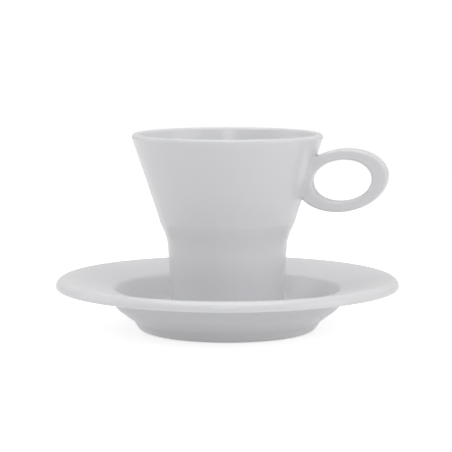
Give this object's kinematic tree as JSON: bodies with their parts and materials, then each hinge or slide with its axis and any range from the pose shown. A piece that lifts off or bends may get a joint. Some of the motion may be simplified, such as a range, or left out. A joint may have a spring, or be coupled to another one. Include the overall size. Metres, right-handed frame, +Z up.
{
  "type": "teacup and saucer",
  "caption": "Conical porcelain teacup with a stepped lower section and an oval loop handle, standing in the well of a wide-rimmed saucer.",
  "frame": {"origin": "centre of the saucer's foot ring, on the plane that it stands on", "axes": "+Z up along the common axis of cup and saucer, +X from the axis through the middle of the handle's loop"},
  "size_m": [0.15, 0.15, 0.0858],
  "materials": {
    "white_porcelain": "clear gloss glaze over a white body"
  },
  "bodies": {
    "saucer": {"saucer": "white_porcelain"},
    "cup": {"cup_body": "white_porcelain", "cup_handle": "white_porcelain"}
  },
  "joints": [
    {"name": "cup_lift", "type": "slide", "parent": "saucer", "child": "cup", "axis": [0, 0, 1], "range_m": [0, 0.1]}
  ]
}
